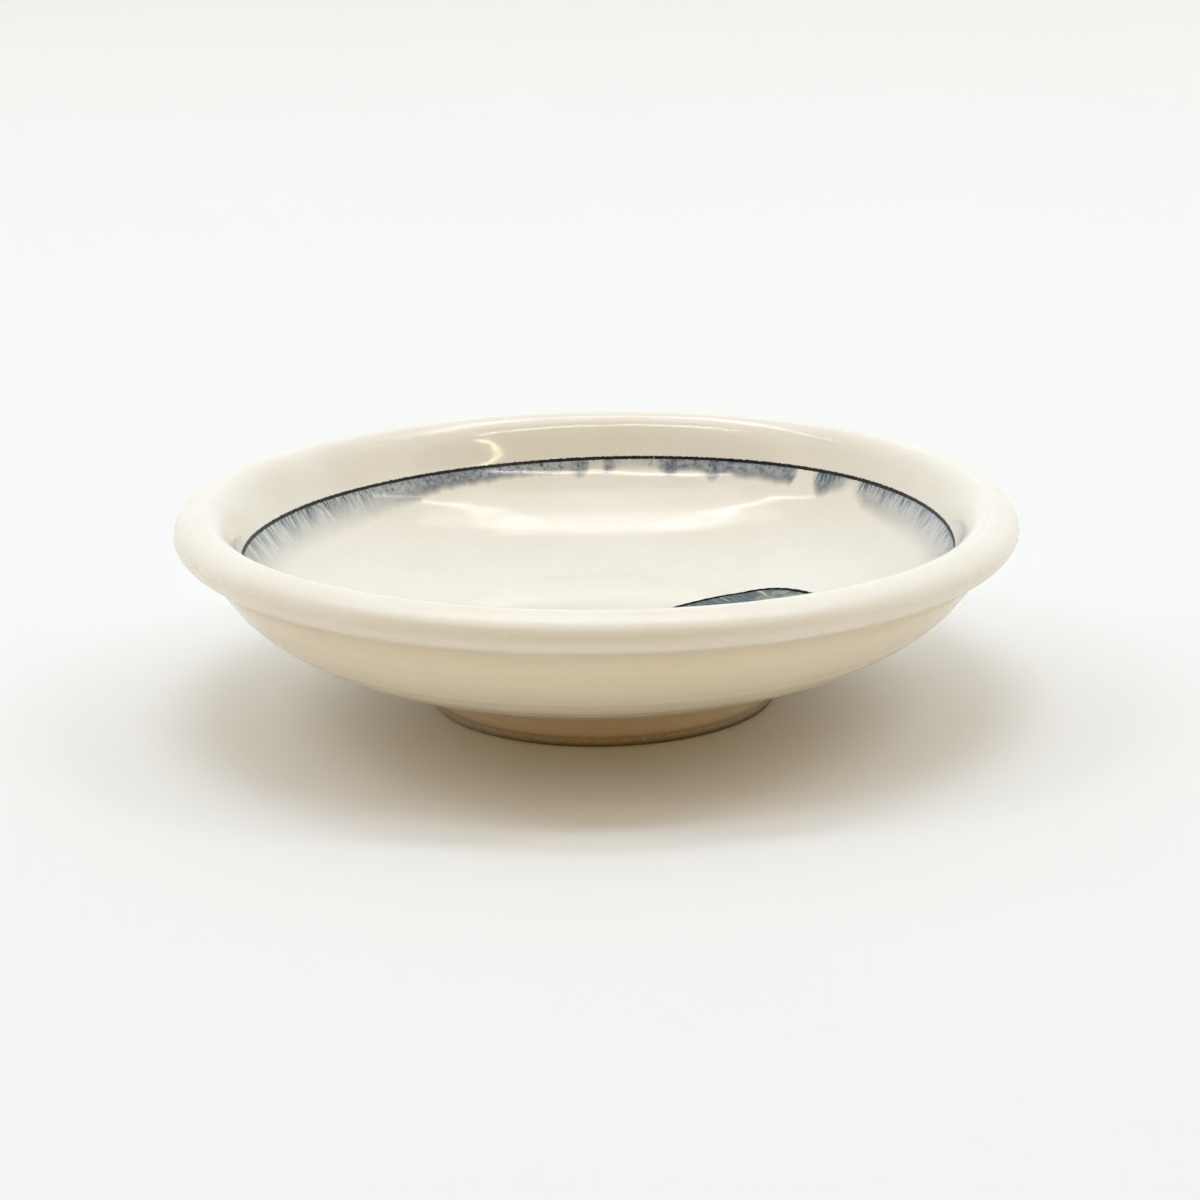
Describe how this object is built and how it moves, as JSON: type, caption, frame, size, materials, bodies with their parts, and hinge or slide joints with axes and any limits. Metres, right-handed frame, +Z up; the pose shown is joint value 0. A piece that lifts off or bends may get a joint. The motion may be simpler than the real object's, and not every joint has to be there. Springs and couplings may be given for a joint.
{
  "type": "soy sauce dish",
  "caption": "Small round stoneware dish for soy sauce, with a rolled rim, a shallow well, a brushed border and a turned foot ring to rest on.",
  "frame": {"origin": "centre of the foot ring's resting face, on the table", "axes": "+Z up along the dish's axis of turning; -Y faces the picture's viewer and +X is to the viewer's right"},
  "size_m": [0.104, 0.104, 0.0248],
  "materials": {
    "clay_body": "fired buff stoneware, under the glaze",
    "foot_ring": "bare fired stoneware, matte and slightly rough",
    "outer_glaze": "glossy warm glaze over buff clay",
    "inner_glaze": "glossy creamy white glaze",
    "base_glaze": "glossy warm glaze over buff clay",
    "band_line": "iron-black painted line, slightly dry",
    "border_wash": "pale blue-grey brushed wash under gloss",
    "border_hairs": "darker blue-grey brush marks under gloss",
    "leaf_shadows": "blue-grey wash under gloss",
    "leaf_lights": "grey-green wash under gloss",
    "leaf_outlines": "dark brushed outline under gloss"
  },
  "bodies": {
    "root": {"clay_body": "clay_body", "foot_ring": "foot_ring", "outer_glaze": "outer_glaze", "inner_glaze": "inner_glaze", "base_glaze": "base_glaze", "band_line": "band_line", "border_wash": "border_wash", "border_hairs": "border_hairs", "leaf_shadows": "leaf_shadows", "leaf_lights": "leaf_lights", "leaf_outlines": "leaf_outlines"}
  },
  "joints": []
}
